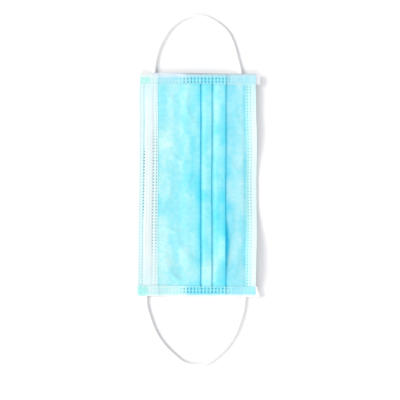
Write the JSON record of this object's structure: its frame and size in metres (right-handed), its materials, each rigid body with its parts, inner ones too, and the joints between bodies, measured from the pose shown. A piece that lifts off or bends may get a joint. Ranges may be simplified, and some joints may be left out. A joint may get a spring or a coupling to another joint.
{
  "type": "surgical face mask",
  "caption": "Flat-folded disposable face mask with horizontal knife pleats, turned hems, bound ends, a nose wire and round elastic ear loops.",
  "frame": {"origin": "on the surface the mask lies on, below the middle of the mask's box without its ear loops", "axes": "+X from the nose edge to the chin edge, +Y along the length to the wearer's left end, +Z out of the outer face"},
  "size_m": [0.0958, 0.2758, 0.0082],
  "materials": {
    "outer_web": "pale cyan bonded nonwoven",
    "inner_web": "white bonded nonwoven",
    "nose_wire": "white plastic over a steel core",
    "binding_web": "thin white nonwoven over blue",
    "elastic": "white knitted elastic"
  },
  "bodies": {
    "root": {"pleated_body": "outer_web", "nose_hem": "inner_web", "chin_hem": "inner_web", "nose_wire": "nose_wire", "left_end_binding": "binding_web", "right_end_binding": "binding_web", "left_ear_loop": "elastic", "right_ear_loop": "elastic", "left_nose_weld": "elastic", "left_chin_weld": "elastic", "right_nose_weld": "elastic", "right_chin_weld": "elastic"}
  },
  "joints": []
}
